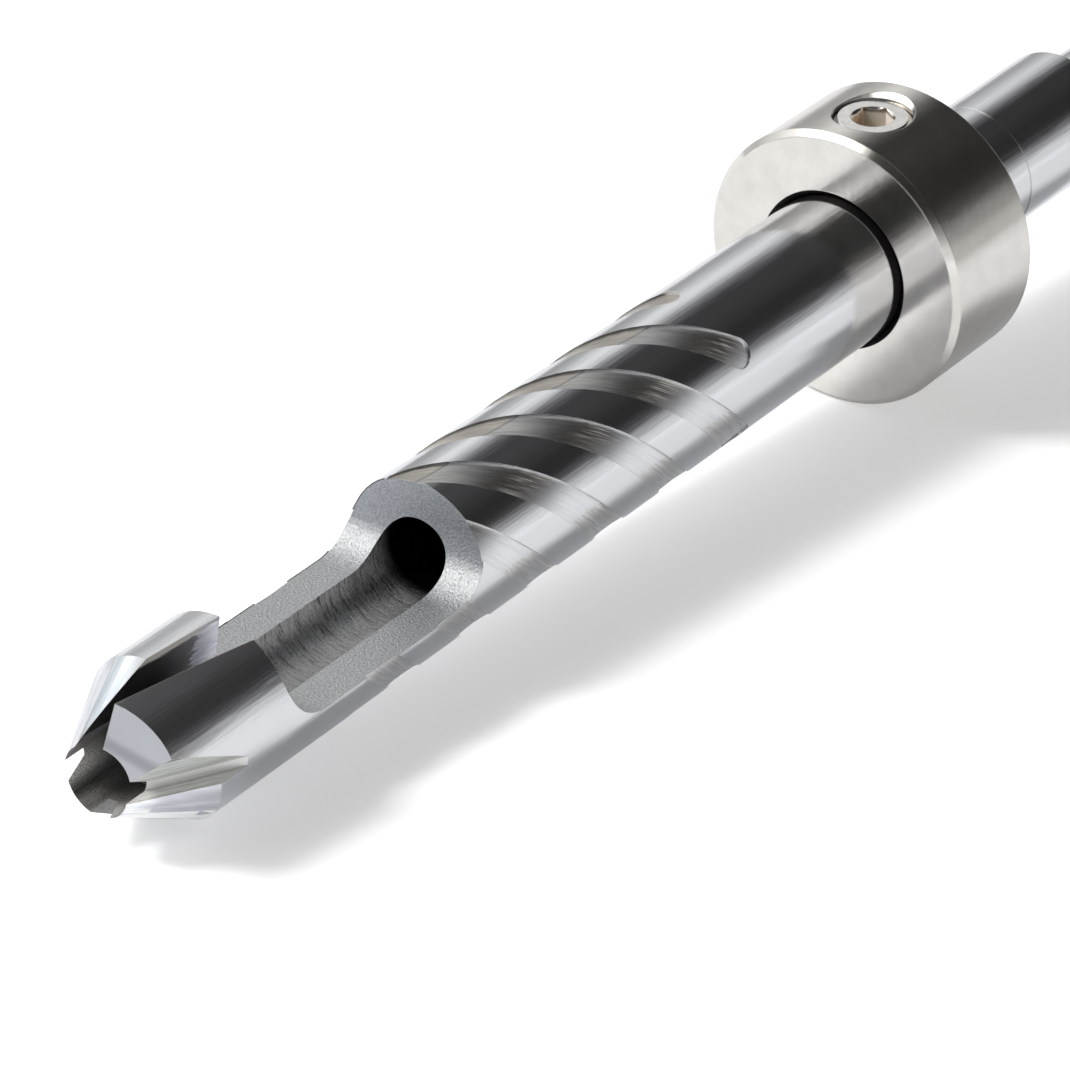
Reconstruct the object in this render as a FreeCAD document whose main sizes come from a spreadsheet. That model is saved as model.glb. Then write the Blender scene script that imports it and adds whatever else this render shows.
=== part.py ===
import FreeCAD, Part

import math
import os

import Sketcher

# A plug cutter with a stop collar, clamped on the barrel by a grub screw.
# The tool is made along its own X axis, from the tips of the spurs at X = 0 to the end of the
# shank, with the chip window and the grub screw facing +Z. It is then laid down as it rests, on
# the cutting head and the collar, with +Z up and the origin under its middle.
# Angles round the tool are counted from +Z, by the right-hand rule about X.

SIZES = {
    # Barrel and shank; the head's part of the barrel is a hair thicker, the neck is turned down
    "barrel_diameter": 16.0,
    "barrel_length": 123.6,
    "barrel_chamfer": 0.4,
    "head_length": 26.84,
    "head_rise": 0.05,
    "neck_step": 1.0,
    "neck_length": 14.3,
    "journal_diameter": 14.2,
    "journal_length": 16.7,
    "journal_chamfer": 0.8,
    "tail_diameter": 10.0,
    "tail_length": 36.0,
    "tail_chamfer": 0.8,
    # Bore
    "plug_diameter": 7.0,
    "plug_bore_depth": 6.0,
    "chip_bore_diameter": 8.0,
    "bore_step_length": 0.6,
    "bore_past_window": 14.0,
    "drill_point_length": 2.3,
    # Spurs: their bevel, and the notch in front of each. Two are relieved behind the edge, and
    # the one beside the gullet has two plain facets, its heel ground less than the rest.
    "spur_half_angle": 29.5,
    "spur_relief": 4.0,
    "spur_lead": 5.0,
    "spur_spacing": 90.0,
    "gullet_spur_half_angle": 28.3,
    "gullet_spur_heel": 54.0,
    "gullet_spur_heel_half_angle": 29.6,
    "notch_depth": 1.25,
    "notch_wall_offset": 0.9,
    "notch_ramp_angle": 40.0,
    "notch_height": 5.0,
    "spur_count": 3,
    # Raker: the tilt of its face
    "raker_face_offset": -0.37,
    "raker_relief": 14.6,
    "raker_slope": 9.5,
    # Gullet in front of the raker
    "gullet_front_width": 2.5,
    "gullet_back_width": 3.9,
    "gullet_front_offset": 1.55,
    "gullet_back_offset": -0.95,
    "gullet_roll": 9.0,
    # Chip window
    "window_start": 16.8,
    "window_length": 27.9,
    "window_depth": 8.75,
    "window_front_fillet": 4.4,
    "window_back_fillet": 5.1,
    # Helical relief grooves
    "groove_starts": 5,
    "groove_lead": 52.0,
    "groove_width": 3.2,
    "groove_depth": 0.25,
    "groove_begin": 28.5,
    "groove_length": 57.3,
    "groove_phase": 91.0,
    # Stop collar
    "collar_diameter": 30.0,
    "collar_width": 14.0,
    "collar_past_shoulder": 1.95,
    "collar_clearance": 0.05,
    "collar_chamfer": 0.65,
    "collar_bore_chamfer": 0.6,
    # Grub screw and its hole
    "screw_hole_diameter": 8.0,
    "screw_hole_sink": 0.6,
    "screw_clearance": 0.05,
    "screw_recess": 0.7,
    "screw_chamfer": 0.4,
    "screw_seat_gap": 0.05,
    "screw_point_chamfer": 1.0,
    "socket_width": 4.0,
    "socket_depth": 3.0,
    "socket_chamfer": 0.25,
    # How far a cutting outline reaches past the solid it cuts
    "overcut": 1.0,
}

X_AXIS = FreeCAD.Vector(1, 0, 0)
Y_AXIS = FreeCAD.Vector(0, 1, 0)
Z_AXIS = FreeCAD.Vector(0, 0, 1)


class Size:
    """A number together with the expression that binds it to the sheet."""

    def __init__(self, value, text):
        self.value = value
        self.text = text

    def __add__(self, other):
        other = as_size(other)
        return Size(self.value + other.value, f"({self.text} + {other.text})")

    def __sub__(self, other):
        other = as_size(other)
        return Size(self.value - other.value, f"({self.text} - {other.text})")

    def __mul__(self, other):
        other = as_size(other)
        return Size(self.value * other.value, f"({self.text} * {other.text})")

    def __truediv__(self, other):
        other = as_size(other)
        return Size(self.value / other.value, f"({self.text} / {other.text})")

    def __neg__(self):
        return Size(-self.value, f"(0 - {self.text})")


def as_size(number):
    return number if isinstance(number, Size) else Size(float(number), repr(float(number)))


def size(name):
    return Size(float(sheet.get(name)), f"sizes.{name}")


def tangent(angle):
    return Size(math.tan(math.radians(angle.value)), f"tan({angle.text} * 1 deg)")


def make_sheet():
    table = document.addObject("Spreadsheet::Sheet", "sizes")
    for row, (name, number) in enumerate(SIZES.items(), start=1):
        table.set(f"A{row}", name)
        table.set(f"B{row}", str(number))
        table.setAlias(f"B{row}", name)
    document.recompute()
    return table


def make_body(label):
    body = document.addObject("PartDesign::Body", label)
    body.Label = label
    return body


def origin_feature(body, role):
    for feature in body.Origin.OriginFeatures:
        if feature.Role == role:
            return feature
    raise RuntimeError(f"{body.Label} has no {role}")


def add_sketch(body, name, role="XZ_Plane", offset=None):
    sketch = body.newObject("Sketcher::SketchObject", name)
    sketch.AttachmentSupport = [(origin_feature(body, role), "")]
    sketch.MapMode = "FlatFace"
    if offset is not None:
        sketch.AttachmentOffset = offset
    sketch.Visibility = False
    return sketch


def pin_point(sketch, edge, end, place, along):
    """Ties one end of an edge to its distance from the sketch's origin, along x or along y."""
    if place.value == 0:
        axis = -2 if along == "x" else -1
        sketch.addConstraint(Sketcher.Constraint("PointOnObject", edge, end, axis))
        return
    kind = "DistanceX" if along == "x" else "DistanceY"
    index = sketch.addConstraint(Sketcher.Constraint(kind, -1, 1, edge, end, place.value))
    sketch.setExpression(f"Constraints[{index}]", place.text)


def draw_polygon(sketch, corners):
    """A closed outline, each corner tied to the sheet."""
    corners = [(as_size(x), as_size(y)) for x, y in corners]
    places = [FreeCAD.Vector(x.value, y.value, 0) for x, y in corners]
    count = len(corners)
    for here in range(count):
        sketch.addGeometry(Part.LineSegment(places[here], places[(here + 1) % count]), False)
    for here in range(count):
        sketch.addConstraint(Sketcher.Constraint("Coincident", here, 2, (here + 1) % count, 1))
    for here, (x, y) in enumerate(corners):
        pin_point(sketch, here, 1, x, "x")
        pin_point(sketch, here, 1, y, "y")


def draw_circle(sketch, radius):
    circle = sketch.addGeometry(Part.Circle(FreeCAD.Vector(), Z_AXIS, radius.value), False)
    sketch.addConstraint(Sketcher.Constraint("Coincident", circle, 3, -1, 1))
    index = sketch.addConstraint(Sketcher.Constraint("Radius", circle, radius.value))
    sketch.setExpression(f"Constraints[{index}]", radius.text)


def draw_window_side(sketch, start, stop, floor, top, front_radius, back_radius):
    """A box open at the top, with both bottom corners round."""
    x0, x1, y0, y1 = start.value, stop.value, floor.value, top.value
    r0, r1 = front_radius.value, back_radius.value
    vector = FreeCAD.Vector
    front = Part.Circle(vector(x0 + r0, y0 + r0, 0), Z_AXIS, r0)
    back = Part.Circle(vector(x1 - r1, y0 + r1, 0), Z_AXIS, r1)
    outline = [
        Part.LineSegment(vector(x0, y1, 0), vector(x0, y0 + r0, 0)),
        Part.ArcOfCircle(front, math.pi, 1.5 * math.pi),
        Part.LineSegment(vector(x0 + r0, y0, 0), vector(x1 - r1, y0, 0)),
        Part.ArcOfCircle(back, 1.5 * math.pi, 2 * math.pi),
        Part.LineSegment(vector(x1, y0 + r1, 0), vector(x1, y1, 0)),
        Part.LineSegment(vector(x1, y1, 0), vector(x0, y1, 0)),
    ]
    sketch.addGeometry(outline, False)
    tie = Sketcher.Constraint
    for here in range(4):
        sketch.addConstraint(tie("Tangent", here, 2, here + 1, 1))
    sketch.addConstraint(tie("Coincident", 4, 2, 5, 1))
    sketch.addConstraint(tie("Coincident", 5, 2, 0, 1))
    for upright in (0, 4):
        sketch.addConstraint(tie("Vertical", upright))
    for level in (2, 5):
        sketch.addConstraint(tie("Horizontal", level))
    for edge, radius in ((1, front_radius), (3, back_radius)):
        index = sketch.addConstraint(tie("Radius", edge, radius.value))
        sketch.setExpression(f"Constraints[{index}]", radius.text)
    pin_point(sketch, 0, 1, start, "x")
    pin_point(sketch, 0, 1, top, "y")
    pin_point(sketch, 4, 2, stop, "x")
    pin_point(sketch, 2, 1, floor, "y")


def draw_hexagon(sketch, across_flats):
    """A regular hexagon about the sketch's origin, with two sides level."""
    corner = across_flats.value / math.sqrt(3)
    places = []
    for here in range(6):
        angle = math.radians(60 * here)
        places.append(FreeCAD.Vector(corner * math.cos(angle), corner * math.sin(angle), 0))
    for here in range(6):
        sketch.addGeometry(Part.LineSegment(places[here], places[(here + 1) % 6]), False)
    rim = sketch.addGeometry(Part.Circle(FreeCAD.Vector(), Z_AXIS, corner), True)
    tie = Sketcher.Constraint
    for here in range(6):
        sketch.addConstraint(tie("Coincident", here, 2, (here + 1) % 6, 1))
        sketch.addConstraint(tie("PointOnObject", here, 1, rim))
    for here in range(5):
        sketch.addConstraint(tie("Equal", here, here + 1))
    sketch.addConstraint(tie("Coincident", rim, 3, -1, 1))
    sketch.addConstraint(tie("PointOnObject", 0, 1, -1))
    index = sketch.addConstraint(tie("Radius", rim, corner))
    sketch.setExpression(f"Constraints[{index}]", f"{across_flats.text} / sqrt(3)")


def revolve(body, kind, name, sketch, angle=None):
    feature = body.newObject(f"PartDesign::{kind}", name)
    feature.Profile = sketch
    feature.ReferenceAxis = (sketch, ["H_Axis"])
    if angle is not None:
        feature.setExpression("Angle", angle.text)
    return feature


def cut_pocket(body, name, sketch, length, both_ways=False, forwards=False):
    feature = body.newObject("PartDesign::Pocket", name)
    feature.Profile = sketch
    feature.setExpression("Length", length.text)
    feature.Midplane = both_ways
    feature.Reversed = forwards
    return feature


def repeat_around(body, name, features, count, angle):
    pattern = body.newObject("PartDesign::PolarPattern", name)
    pattern.Originals = features
    pattern.Axis = (origin_feature(body, "X_Axis"), [""])
    pattern.Angle = angle
    pattern.setExpression("Occurrences", count.text)
    body.Tip = pattern
    return pattern


def turned_about_axis(degrees):
    """Turns a sketch that holds the tool's axis about that axis."""
    return FreeCAD.Placement(FreeCAD.Vector(), FreeCAD.Rotation(X_AXIS, degrees))


def shank_profile():
    """Half of the section along the axis, from the mouth of the bore round to its drill point."""
    barrel = size("barrel_diameter") / 2
    head = barrel + size("head_rise")
    neck = barrel - size("neck_step")
    journal = size("journal_diameter") / 2
    tail = size("tail_diameter") / 2
    plug = size("plug_diameter") / 2
    chips = size("chip_bore_diameter") / 2
    barrel_end = size("barrel_length")
    neck_end = barrel_end + size("neck_length")
    journal_end = neck_end + size("journal_length")
    tail_end = journal_end + size("tail_length")
    step_start = size("plug_bore_depth")
    bore_end = size("window_start") + size("window_length") + size("bore_past_window")
    return [
        (0, plug),
        (0, head),
        (size("head_length"), head),
        (size("head_length"), barrel),
        (barrel_end - size("barrel_chamfer"), barrel),
        (barrel_end, barrel - size("barrel_chamfer")),
        (barrel_end, neck),
        (neck_end, neck),
        (neck_end, journal),
        (journal_end - size("journal_chamfer"), journal),
        (journal_end, journal - size("journal_chamfer")),
        (journal_end, tail),
        (tail_end - size("tail_chamfer"), tail),
        (tail_end, tail - size("tail_chamfer")),
        (tail_end, 0),
        (bore_end + size("drill_point_length"), 0),
        (bore_end, chips),
        (step_start + size("bore_step_length"), chips),
        (step_start, plug),
    ]


def bevel_head(body, name, half_angle, sweep, place):
    """Bevels the outside of the head down to the sharp rim of the bore, over one sector."""
    plug = size("plug_diameter") / 2
    front = size("overcut")
    top = size("barrel_diameter") / 2 + size("head_rise") + size("overcut")
    slope = tangent(half_angle)
    sketch = add_sketch(body, f"{name}_section", offset=place)
    draw_polygon(sketch, [
        (-front, plug - slope * front),
        ((top - plug) / slope, top),
        (-front, top),
    ])
    return revolve(body, "Groove", name, sketch, sweep)


def bevel_spurs(body):
    """Bevels the three spurs; a tilted axis makes two of them fall away behind the edge."""
    spacing = size("spur_spacing")
    lead = size("spur_lead") - spacing
    middle = FreeCAD.Rotation(X_AXIS, (lead + spacing * 2.5).value)
    relief = FreeCAD.Rotation(Y_AXIS, size("spur_relief").value)
    back = FreeCAD.Rotation(X_AXIS, (-spacing / 2).value)
    tilted = FreeCAD.Placement(FreeCAD.Vector(), middle.multiply(relief).multiply(back))
    spur = bevel_head(body, "spur_bevel", size("spur_half_angle"), spacing, tilted)
    repeat_around(body, "spur_bevels", [spur], as_size(2), spacing.value)
    heel = size("gullet_spur_heel")
    bevel_head(
        body, "gullet_spur_bevel", size("gullet_spur_half_angle"), heel,
        turned_about_axis(lead.value))
    bevel_head(
        body, "gullet_spur_heel_bevel", size("gullet_spur_heel_half_angle"), spacing - heel,
        turned_about_axis((lead + heel).value))


def cut_raker_face(body):
    """Sets the raker back behind the spurs, with a flat face that falls away from its edge."""
    relief = math.tan(math.radians(size("raker_relief").value))
    slope = math.tan(math.radians(size("raker_slope").value))
    normal = FreeCAD.Vector(relief, -slope, 1)
    tilt = FreeCAD.Placement(
        FreeCAD.Vector(0, 0, size("raker_face_offset").value),
        FreeCAD.Rotation(Z_AXIS, normal))
    sketch = add_sketch(body, "raker_face_outline", "YZ_Plane", tilt)
    reach = size("barrel_diameter")
    gullet = size("gullet_front_width") / 2
    draw_polygon(sketch, [
        (gullet, 0),
        (0, reach),
        (-reach, reach),
        (-reach, 0),
    ])
    return cut_pocket(body, "raker_face", sketch, reach / 2)


def cut_spur_notches(body):
    """Notches with one upright wall and one ramp, run up the bevel and out at the barrel."""
    plug = size("plug_diameter") / 2
    depth = size("notch_depth")
    wall = size("notch_wall_offset")
    height = size("notch_height")
    ramp = tangent(size("notch_ramp_angle"))
    across = FreeCAD.Placement(
        FreeCAD.Vector(-plug.value, 0, 0),
        FreeCAD.Rotation(Y_AXIS, -size("spur_half_angle").value))
    sketch = add_sketch(body, "notch_section", "YZ_Plane", across)
    draw_polygon(sketch, [
        (depth, -wall),
        (depth, 0),
        (-height, (depth + height) / ramp),
        (-height, -wall),
    ])
    run = size("barrel_diameter") * 2
    notch = cut_pocket(body, "spur_notch", sketch, run, both_ways=True)
    span = (size("spur_count").value - 1) * size("spur_spacing").value
    return repeat_around(body, "spur_notches", [notch], size("spur_count"), span)


def cut_gullet(body):
    """The wide gullet in front of the raker opens the bore from the tip back to the window."""
    start = -size("overcut") * 3
    stop = size("window_start") + size("overcut")
    roll = turned_about_axis(size("gullet_roll").value)
    sketch = add_sketch(body, "gullet_outline", "XY_Plane", roll)
    front = size("gullet_front_offset")
    back = size("gullet_back_offset")
    front_half = size("gullet_front_width") / 2
    back_half = size("gullet_back_width") / 2
    draw_polygon(sketch, [
        (start, front - front_half),
        (stop, back - back_half),
        (stop, back + back_half),
        (start, front + front_half),
    ])
    return cut_pocket(body, "gullet", sketch, size("barrel_diameter"), forwards=True)


def cut_window(body):
    """The chip window: cut to just past the axis, with a round corner at each end."""
    head = size("barrel_diameter") / 2 + size("head_rise")
    start = size("window_start")
    sketch = add_sketch(body, "window_side")
    draw_window_side(
        sketch, start, start + size("window_length"),
        head - size("window_depth"), head + size("overcut"),
        size("window_front_fillet"), size("window_back_fillet"))
    width = size("barrel_diameter") + size("overcut") * 2
    return cut_pocket(body, "chip_window", sketch, width, both_ways=True)


def groove_place(along, twist_degrees):
    """The place of a cross-section of the groove, for a sketch on the XZ plane."""
    begin = size("groove_begin").value
    turn = size("groove_phase").value + 360 * (along - begin) / size("groove_lead").value
    about_axis = FreeCAD.Rotation(X_AXIS, turn)
    base = about_axis.multVec(FreeCAD.Vector(along, size("barrel_diameter").value / 2, 0))
    return FreeCAD.Placement(base, about_axis.multiply(FreeCAD.Rotation(Y_AXIS, twist_degrees)))


def cut_groove_end(body, name, along):
    """Rounds off one end of the groove with the width of the cutter that made it."""
    place = groove_place(along, 0)
    sunk = FreeCAD.Vector(0, -size("groove_depth").value, 0)
    upright = FreeCAD.Placement(sunk, FreeCAD.Rotation(X_AXIS, -90))
    sketch = add_sketch(body, f"{name}_outline", offset=place.multiply(upright))
    draw_circle(sketch, size("groove_width") / 2)
    return cut_pocket(body, name, sketch, size("overcut"), forwards=True)


def cut_grooves(body):
    """Shallow flat-bottomed grooves that wind round the barrel, with round ends."""
    lead = size("groove_lead")
    depth = size("groove_depth")
    half = size("groove_width") / 2
    begin = size("groove_begin")
    pitch_angle = math.degrees(math.atan2(lead.value, math.pi * size("barrel_diameter").value))
    sketch = add_sketch(body, "groove_section", offset=groove_place(begin.value, pitch_angle))
    draw_polygon(sketch, [
        (-half, -depth),
        (half, -depth),
        (half, size("overcut")),
        (-half, size("overcut")),
    ])
    groove = body.newObject("PartDesign::SubtractiveHelix", "groove")
    groove.Profile = sketch
    groove.ReferenceAxis = (origin_feature(body, "X_Axis"), [""])
    groove.Mode = 0
    groove.setExpression("Pitch", lead.text)
    groove.setExpression("Height", size("groove_length").text)
    groove.LeftHanded = False
    groove.HasBeenEdited = True
    document.recompute()
    end = begin + size("groove_length")
    front_end = cut_groove_end(body, "groove_front_end", begin.value)
    back_end = cut_groove_end(body, "groove_back_end", end.value)
    cuts = [groove, front_end, back_end]
    pattern = repeat_around(body, "grooves", cuts, size("groove_starts"), 360)
    for feature in [*cuts, pattern]:
        feature.Refine = False
    return pattern


def make_cutter_body():
    body = make_body("cutter_body")
    section = add_sketch(body, "turned_section")
    draw_polygon(section, shank_profile())
    revolve(body, "Revolution", "turned_blank", section)
    bevel_spurs(body)
    cut_raker_face(body)
    cut_spur_notches(body)
    cut_gullet(body)
    cut_window(body)
    cut_grooves(body)
    return body


def make_stop_collar():
    """A ring that slides on the barrel, with a radial hole for the grub screw."""
    body = make_body("stop_collar")
    inner = size("barrel_diameter") / 2 + size("collar_clearance")
    outer = size("collar_diameter") / 2
    width = size("collar_width")
    edge = size("collar_chamfer")
    mouth = size("collar_bore_chamfer")
    section = add_sketch(body, "collar_section")
    draw_polygon(section, [
        (mouth, inner),
        (0, inner + mouth),
        (0, outer - edge),
        (edge, outer),
        (width - edge, outer),
        (width, outer - edge),
        (width, inner + mouth),
        (width - mouth, inner),
    ])
    revolve(body, "Revolution", "collar_ring", section)
    middle = FreeCAD.Vector(width.value / 2, 0, 0)
    hole = add_sketch(body, "screw_hole_outline", "XY_Plane", FreeCAD.Placement(
        middle, FreeCAD.Rotation()))
    draw_circle(hole, size("screw_hole_diameter") / 2)
    cut_pocket(body, "screw_hole", hole, size("collar_diameter"), forwards=True)
    sink = size("screw_hole_sink")
    half = size("screw_hole_diameter") / 2
    side = FreeCAD.Placement(middle, FreeCAD.Rotation(Z_AXIS, 90))
    mouth_section = add_sketch(body, "screw_hole_mouth_section", "XZ_Plane", side)
    draw_polygon(mouth_section, [
        (outer - sink, half - size("overcut") / 2),
        (outer - sink, half),
        (outer + size("overcut"), half + sink + size("overcut")),
        (outer + size("overcut"), half - size("overcut") / 2),
    ])
    revolve(body, "Groove", "screw_hole_mouth", mouth_section)
    return body


def make_grub_screw():
    """The grub screw, upright on the tool's axis, its point just clear of the barrel."""
    body = make_body("grub_screw")
    radius = size("screw_hole_diameter") / 2 - size("screw_clearance")
    bottom = size("barrel_diameter") / 2 + size("screw_seat_gap")
    top = size("collar_diameter") / 2 - size("screw_recess")
    point = size("screw_point_chamfer")
    edge = size("screw_chamfer")
    socket_half = size("socket_width") / 2
    upright = FreeCAD.Placement(FreeCAD.Vector(), FreeCAD.Rotation(Z_AXIS, 90))
    section = add_sketch(body, "screw_section", offset=upright)
    draw_polygon(section, [
        (bottom, 0),
        (bottom, radius - point),
        (bottom + point, radius),
        (top - edge, radius),
        (top, radius - edge),
        (top, 0),
    ])
    revolve(body, "Revolution", "screw_shank", section)
    face = FreeCAD.Placement(FreeCAD.Vector(0, 0, top.value), FreeCAD.Rotation())
    socket = add_sketch(body, "socket_outline", "XY_Plane", face)
    draw_hexagon(socket, size("socket_width"))
    cut_pocket(body, "hex_socket", socket, size("socket_depth"))
    lead_in = size("socket_chamfer")
    mouth_section = add_sketch(body, "socket_mouth_section", offset=upright)
    draw_polygon(mouth_section, [
        (top - lead_in, 0),
        (top - lead_in, socket_half),
        (top + lead_in, socket_half + lead_in * 2),
        (top + lead_in, 0),
    ])
    revolve(body, "Groove", "socket_mouth", mouth_section)
    return body


def collar_place():
    """The collar's front face: its back face reaches a little past the barrel's shoulder."""
    return size("barrel_length") + size("collar_past_shoulder") - size("collar_width")


def rest_placement(bodies):
    """Lays the tool on the head and the collar's front edge, over the middle of its footprint."""
    collar_drop = size("collar_diameter").value / 2
    collar_touch = collar_place().value + size("collar_chamfer").value
    head = [vertex for vertex in cutter_body.Shape.Vertexes if vertex.X < size("head_length").value]
    angle = min(
        math.atan2(collar_drop + vertex.Z, collar_touch - vertex.X) for vertex in head)
    tilt = FreeCAD.Rotation(Y_AXIS, -math.degrees(angle))
    touch = tilt.multVec(FreeCAD.Vector(collar_touch, 0, -collar_drop))
    lean = FreeCAD.Placement(FreeCAD.Vector(0, 0, -touch.z), tilt)
    low, high = [], []
    for body in bodies:
        shape = body.Shape.copy()
        shape.Placement = lean.multiply(shape.Placement)
        box = shape.optimalBoundingBox(False, False)
        low.append(box.XMin)
        high.append(box.XMax)
    middle = (min(low) + max(high)) / 2
    return FreeCAD.Placement(FreeCAD.Vector(-middle, 0, 0), FreeCAD.Rotation()).multiply(lean)


def check(bodies):
    for thing in document.Objects:
        if "Invalid" in thing.State or "Error" in thing.State:
            raise RuntimeError(f"{thing.Label} failed: {thing.State} {thing.getStatusString()}")
    for body in bodies:
        if body.Shape.isNull() or not body.Shape.isValid() or len(body.Shape.Solids) != 1:
            raise RuntimeError(f"{body.Label} isn't one valid solid")


document = FreeCAD.newDocument("plug_cutter")
sheet = make_sheet()
cutter_body = make_cutter_body()
stop_collar = make_stop_collar()
grub_screw = make_grub_screw()
pieces = [cutter_body, stop_collar, grub_screw]
document.recompute()

collar_front = FreeCAD.Vector(collar_place().value, 0, 0)
screw_foot = collar_front + FreeCAD.Vector(size("collar_width").value / 2, 0, 0)
stop_collar.Placement = FreeCAD.Placement(collar_front, FreeCAD.Rotation())
grub_screw.Placement = FreeCAD.Placement(screw_foot, FreeCAD.Rotation())
rest = rest_placement(pieces)
for piece in pieces:
    piece.Placement = rest.multiply(piece.Placement)
document.recompute()

check(pieces)
os.makedirs("parts", exist_ok=True)
for piece in pieces:
    piece.Shape.exportStep(f"parts/{piece.Label}.step")
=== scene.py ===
import math
from collections import namedtuple

import bpy
from mathutils import Matrix, Vector

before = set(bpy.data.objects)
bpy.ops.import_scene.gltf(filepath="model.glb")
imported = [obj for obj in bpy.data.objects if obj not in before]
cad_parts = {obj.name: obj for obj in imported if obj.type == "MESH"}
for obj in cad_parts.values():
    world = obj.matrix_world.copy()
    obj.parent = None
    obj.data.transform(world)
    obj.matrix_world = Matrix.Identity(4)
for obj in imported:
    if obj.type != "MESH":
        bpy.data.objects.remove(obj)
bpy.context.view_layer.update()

# A long plug cutter with a stop collar, lying on a white table in a plain studio.
# The materials tell the faces apart in the tool's own frame, in millimetres: x runs along the
# axis from the tips of the spurs, z rises through the chip window, and the angle runs round the
# axis from +y to +z, in radians.

# How the tool lies in the row's frame
MM_PER_METRE = 1000.0
REST_ANGLE = 0.06649068
REST_SHIFT = Vector((-95.1367447, 0.0, 7.5120955))
REST_COSINE = math.cos(REST_ANGLE)
REST_SINE = math.sin(REST_ANGLE)

# Camera
CAMERA_PLACE = (-0.361917, -0.241702, 0.226629)
CAMERA_RIGHT = (0.60166, -0.798439, 0.022352)
CAMERA_UP = (0.368911, 0.302594, 0.87883)
CAMERA_BACK = (-0.708456, -0.520511, 0.476612)
CAMERA_REACH = (0.01, 50.0)
SENSOR_MM = 36.0
LENS_MM = 165.889

# Key lamp
KEY_PLACE = (-0.46, 0.50, 0.76)
KEY_TARGET = (0.0, 0.0, 0.01)
KEY_SIZE = (0.26, 0.26)
KEY_WATTS = 8.0
KEY_WAY = tuple((Vector(KEY_PLACE) - Vector(KEY_TARGET)).normalized())

# The light that metal reflects, as stops of height and level. Height 0 is straight down and
# 1 is straight up. The near side is the camera's.
NEAR_SIDE_LIGHT = [
    (0.0, 0.55), (0.5, 0.84), (0.55, 0.74), (0.58, 0.50), (0.63, 0.26), (0.67, 0.08),
    (0.73, 0.030), (0.80, 0.028), (0.86, 0.044), (0.885, 0.054), (0.90, 0.075),
    (0.94, 0.11), (1.0, 0.15)]
FAR_SIDE_LIGHT = [
    (0.0, 0.55), (0.5, 0.44), (0.56, 0.40), (0.66, 0.60), (0.74, 0.97), (0.79, 0.90),
    (0.83, 0.45), (0.86, 0.31), (0.91, 0.14), (1.0, 0.14)]

# Where the far side and the panel behind it begin and are full, by the y of a direction, and
# the softbox, by how closely a direction points at the key lamp
FAR_SIDE_Y = (0.11, 0.62)
BACK_PANEL_Y = (0.74, 0.94)
BACK_PANEL_STRENGTH = 0.50
SOFTBOX_EDGE = (0.90, 0.985)
SOFTBOX_STRENGTH = 2.4
SOFTBOX_COLOUR = (1.0, 0.99, 0.97, 1.0)

# Floor, in metres
FLOOR_HALF = 6.0
FLOOR_DROP = 0.00002
FLOOR_COLOUR = (0.82, 0.82, 0.83, 1.0)

# A painted glow that the floor gives off to rays from the tool, in place of light bounced off it:
# everywhere, more in front of the tool, and a painted pool of light beside its head. A span is a
# low limit, a high limit and the blur of both.
PAINTED_GLOW_COLOUR = (0.95, 0.965, 1.0, 1.0)
PAINTED_GLOW_LEVEL = 0.16
IN_FRONT_Y = (-0.05, -0.17)
PAINTED_GLOW_AHEAD_LEVEL = 0.24
BY_HEAD_SPAN_X = (-0.108, -0.082, 0.007)
BY_HEAD_SPAN_Y = (-0.05, 0.012, 0.006)
PAINTED_GLOW_BY_HEAD_LEVEL = 0.22

# The same floor as straight rays see it
SEEN_FLOOR_COLOUR = (0.74, 0.74, 0.74, 1.0)
SEEN_FLOOR_GLOW = 0.45
WHITE = (1.0, 1.0, 1.0, 1.0)

# Round faces, by the parts of their normals along the axis and away from it
ROUND_LEVEL = 0.05
ROUND_OUTSIDE = 0.975
ROUND_INSIDE = -0.94

# Sharp edges, by how far the rounded normal turns from the flat one, and relief in metres
EDGE_TURN = (0.975, 0.93)
EDGE_SAMPLES = 4
CUTTER_EDGE = 0.00008
COLLAR_EDGE = 0.00022
SCREW_EDGE = 0.00012
RELIEF = 0.00002
FINE_RELIEF = 0.00001

# The Mix node has its sockets for numbers, directions and colours side by side
MIX_SOCKETS = {"FLOAT": (2, 3, 0), "VECTOR": (4, 5, 1), "RGBA": (6, 7, 2)}


def make_camera():
    data = bpy.data.cameras.new("camera")
    data.sensor_width = SENSOR_MM
    data.lens = LENS_MM
    data.clip_start, data.clip_end = CAMERA_REACH
    camera = bpy.data.objects.new("camera", data)
    bpy.context.scene.collection.objects.link(camera)
    turn = Matrix((CAMERA_RIGHT, CAMERA_UP, CAMERA_BACK)).transposed()
    camera.matrix_world = Matrix.Translation(CAMERA_PLACE) @ turn.to_4x4()
    bpy.context.scene.camera = camera


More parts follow.
